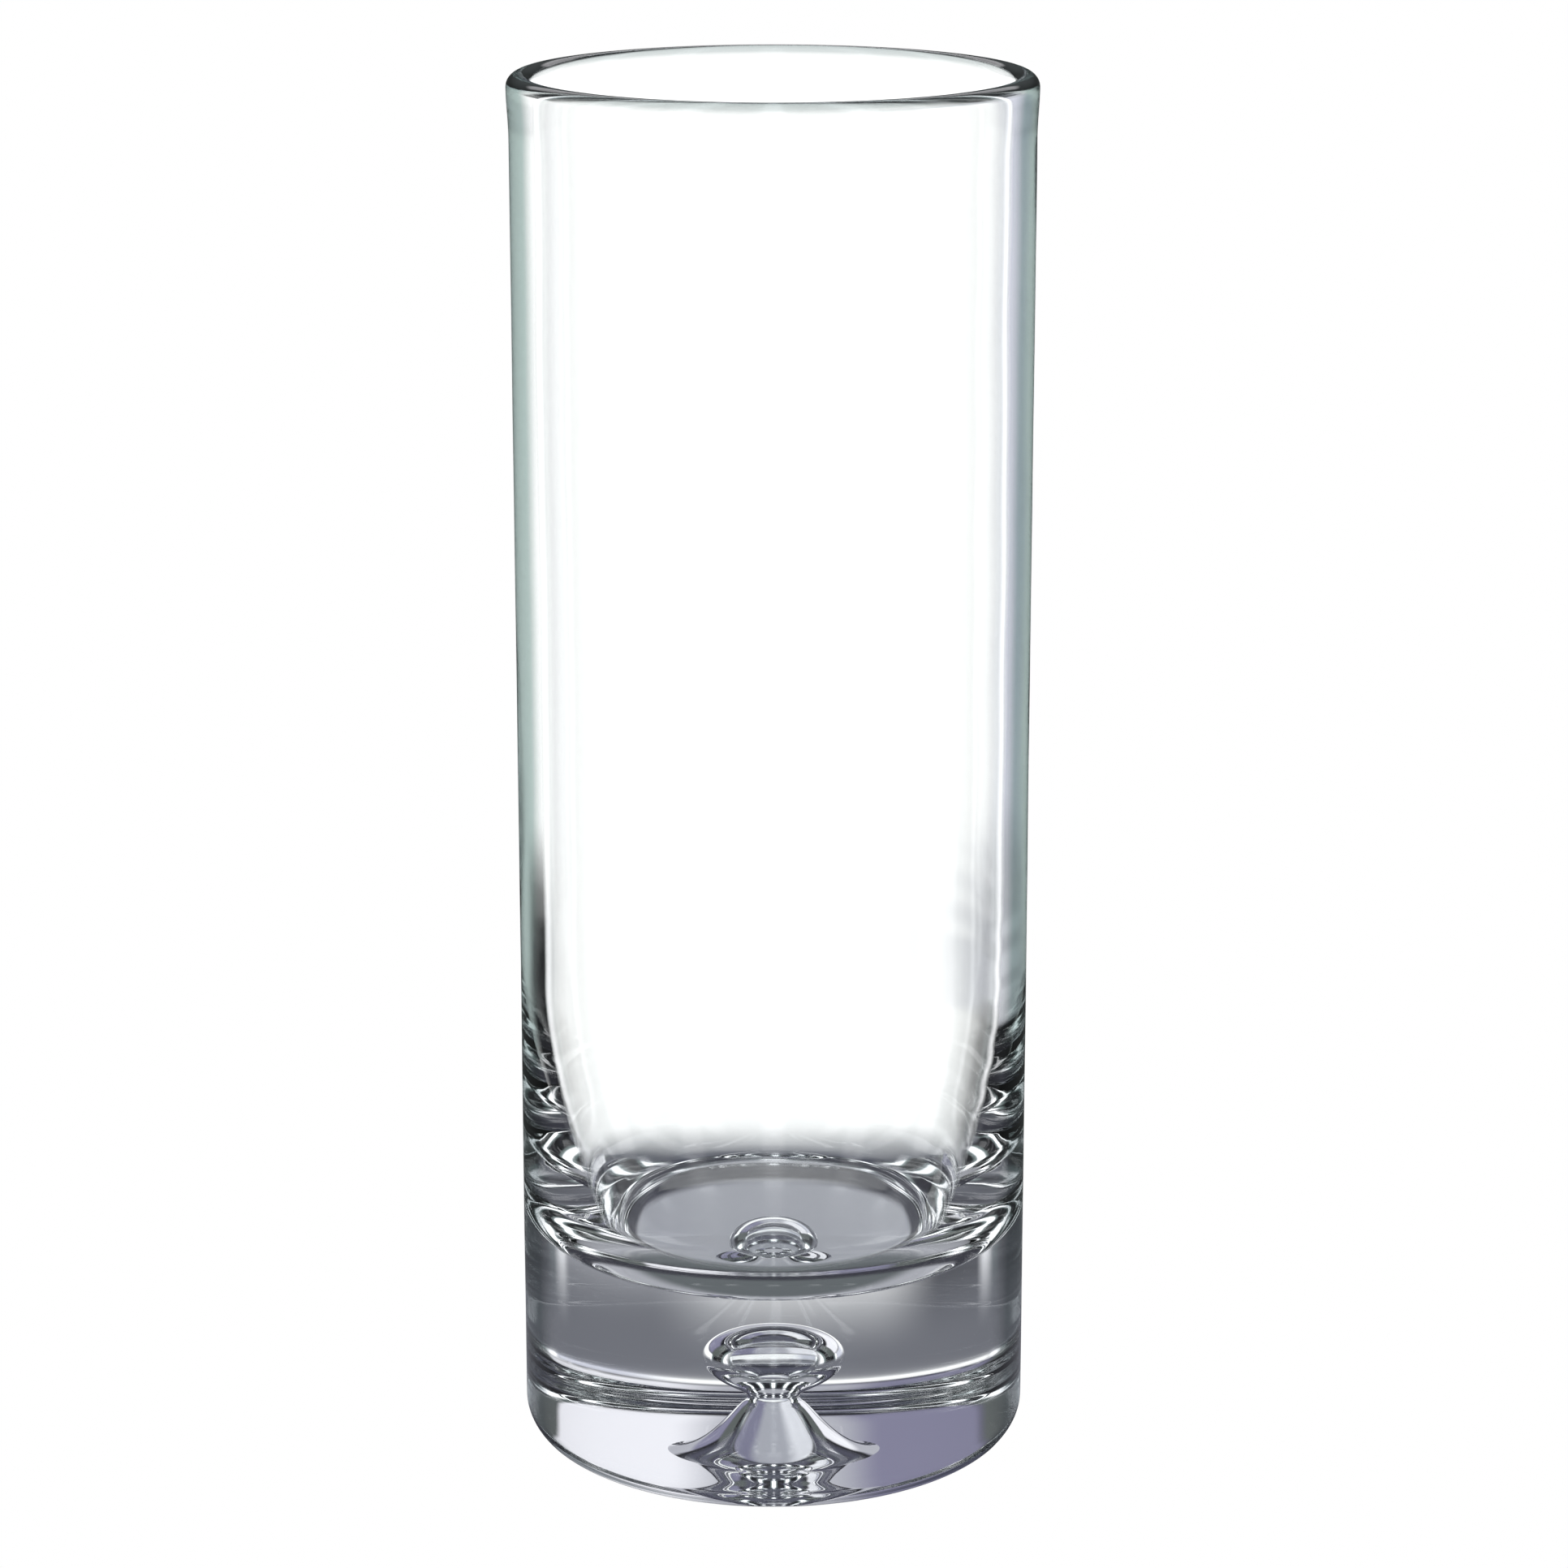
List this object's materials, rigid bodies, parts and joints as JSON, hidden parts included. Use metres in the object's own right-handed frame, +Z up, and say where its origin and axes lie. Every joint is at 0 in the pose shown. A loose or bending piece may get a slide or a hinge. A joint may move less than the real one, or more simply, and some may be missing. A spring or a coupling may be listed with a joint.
{
  "type": "glass cylinder vase",
  "caption": "Tall clear glass cylinder vase, open at the top, with a heavy rounded base that holds an air bubble on its axis.",
  "frame": {"origin": "centre of the flat underside that the vase stands on", "axes": "+Z up the vase's axis of revolution, towards its open mouth; X and Y are equivalent"},
  "size_m": [0.1108, 0.1108, 0.3],
  "materials": {
    "clear_glass": "clear, fire polished, with a faint green-grey depth"
  },
  "bodies": {
    "root": {"blown_body": "clear_glass", "base_gather": "clear_glass"}
  },
  "joints": []
}
